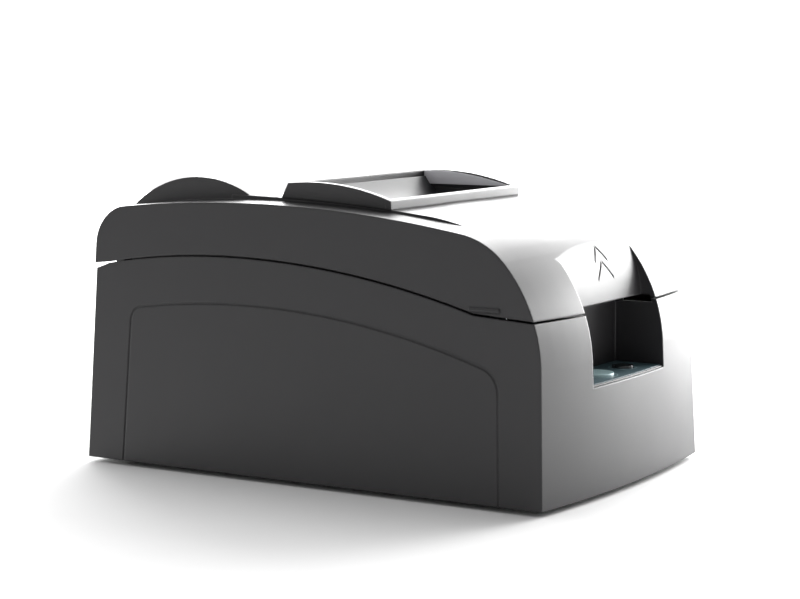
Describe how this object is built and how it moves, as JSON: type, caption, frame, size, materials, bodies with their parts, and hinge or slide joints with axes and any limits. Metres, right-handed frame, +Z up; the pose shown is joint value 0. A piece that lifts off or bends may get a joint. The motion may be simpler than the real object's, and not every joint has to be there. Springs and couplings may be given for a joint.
{
  "type": "receipt printer",
  "caption": "Desktop impact receipt printer with hinged top cover, paper exit, finger pocket with keys, and a working carriage and paper feed inside.",
  "frame": {"origin": "middle of the footprint on the table, under the feet", "axes": "+Z up, -Y out of the front with the keys, +X to the right seen from the front"},
  "size_m": [0.16, 0.254, 0.1385],
  "materials": {
    "case_plastic": "fine textured dark charcoal moulding",
    "guide_plastic": "plain dark moulding",
    "foot_rubber": "soft translucent grey rubber",
    "roller_rubber": "ground black rubber",
    "screw_steel": "zinc plated steel",
    "circuit_board": "green solder mask",
    "black_plastic": "black moulding",
    "membrane_film": "teal printed film",
    "button_plastic": "light teal key",
    "lens_plastic": "clear lamp window",
    "sheet_steel": "galvanised sheet",
    "shaft_steel": "ground steel",
    "head_metal": "die cast, finned",
    "motor_metal": "plated can",
    "gear_plastic": "acetal",
    "ribbon_fabric": "inked nylon"
  },
  "bodies": {
    "case": {"lower_case": "case_plastic", "base_plate": "case_plastic", "roll_bin": "guide_plastic", "panel_plate": "guide_plastic", "feet": "foot_rubber", "base_screws": "screw_steel", "board_screws": "screw_steel", "hinge_pins": "screw_steel", "main_board": "circuit_board", "panel_board": "circuit_board", "board_chips": "black_plastic", "data_socket": "black_plastic", "drawer_socket": "black_plastic", "power_socket": "black_plastic", "switch_frame": "black_plastic", "roll_end_sensor": "black_plastic", "cover_sensor": "black_plastic", "ribbon_cassette": "black_plastic", "drive_belt": "black_plastic", "panel_membrane": "membrane_film", "status_lenses": "lens_plastic", "mechanism_tray": "sheet_steel", "side_plate_left": "sheet_steel", "side_plate_right": "sheet_steel", "platen": "sheet_steel", "carriage_shafts": "shaft_steel", "idler_stud": "shaft_steel", "carriage_motor": "motor_metal", "feed_motor": "motor_metal", "ribbon": "ribbon_fabric"},
    "cover": {"top_cover": "case_plastic", "paper_bezel": "case_plastic", "tear_bar": "case_plastic", "paper_guide": "guide_plastic"},
    "feed_key": {"feed_button": "button_plastic"},
    "mode_key": {"mode_button": "black_plastic"},
    "rocker": {"switch_rocker": "black_plastic"},
    "carriage": {"carriage": "black_plastic", "print_head": "head_metal"},
    "drive_pulley": {"drive_pulley": "gear_plastic"},
    "idler_pulley": {"idler_pulley": "gear_plastic"},
    "feed_roller": {"feed_shaft": "shaft_steel", "feed_rollers": "roller_rubber", "feed_gear": "gear_plastic"},
    "pinion": {"feed_pinion": "gear_plastic"},
    "pinch_roller": {"pinch_shaft": "shaft_steel", "pinch_rollers": "roller_rubber"},
    "knob": {"ribbon_knob": "gear_plastic"}
  },
  "joints": [
    {"name": "cover_hinge", "type": "hinge", "parent": "case", "child": "cover", "pos_m": [0, 0.121, 0.1035], "axis": [-1, 0, 0], "range_deg": [0, 75]},
    {"name": "feed_key_press", "type": "slide", "parent": "case", "child": "feed_key", "axis": [0, 0, -1], "range_m": [0, 0.001], "stiffness_N_per_m": 600},
    {"name": "mode_key_press", "type": "slide", "parent": "case", "child": "mode_key", "axis": [0, 0, -1], "range_m": [0, 0.001], "stiffness_N_per_m": 400},
    {"name": "power_rocker", "type": "hinge", "parent": "case", "child": "rocker", "pos_m": [0.05, 0.118, 0.025], "axis": [1, 0, 0], "range_deg": [0, 16]},
    {"name": "carriage_slide", "type": "slide", "parent": "case", "child": "carriage", "axis": [1, 0, 0], "range_m": [-0.03, 0.03]},
    {"name": "drive_pulley_turn", "type": "hinge", "parent": "case", "child": "drive_pulley", "pos_m": [-0.046, -0.079, 0.0585], "axis": [0, 0, 1], "range_deg": [-300, 300]},
    {"name": "idler_pulley_turn", "type": "hinge", "parent": "case", "child": "idler_pulley", "pos_m": [0.046, -0.079, 0.0585], "axis": [0, 0, 1], "range_deg": [-300, 300]},
    {"name": "feed_turn", "type": "hinge", "parent": "case", "child": "feed_roller", "pos_m": [0, -0.021, 0.072], "axis": [1, 0, 0], "continuous": true},
    {"name": "pinion_turn", "type": "hinge", "parent": "case", "child": "pinion", "pos_m": [0.06, -0.00645, 0.0636], "axis": [1, 0, 0], "continuous": true},
    {"name": "pinch_turn", "type": "hinge", "parent": "case", "child": "pinch_roller", "pos_m": [0, -0.0324, 0.072], "axis": [1, 0, 0], "continuous": true},
    {"name": "ribbon_knob_turn", "type": "hinge", "parent": "case", "child": "knob", "pos_m": [0.036, -0.064, 0.111], "axis": [0, 0, 1], "continuous": true}
  ],
  "couplings": [
    {"joint": "drive_pulley_turn", "follows": "carriage_slide", "rad_per_m": -156.25},
    {"joint": "idler_pulley_turn", "follows": "carriage_slide", "rad_per_m": -156.25},
    {"joint": "pinion_turn", "follows": "feed_turn", "ratio": -2.5},
    {"joint": "pinch_turn", "follows": "feed_turn", "ratio": -1.2}
  ]
}
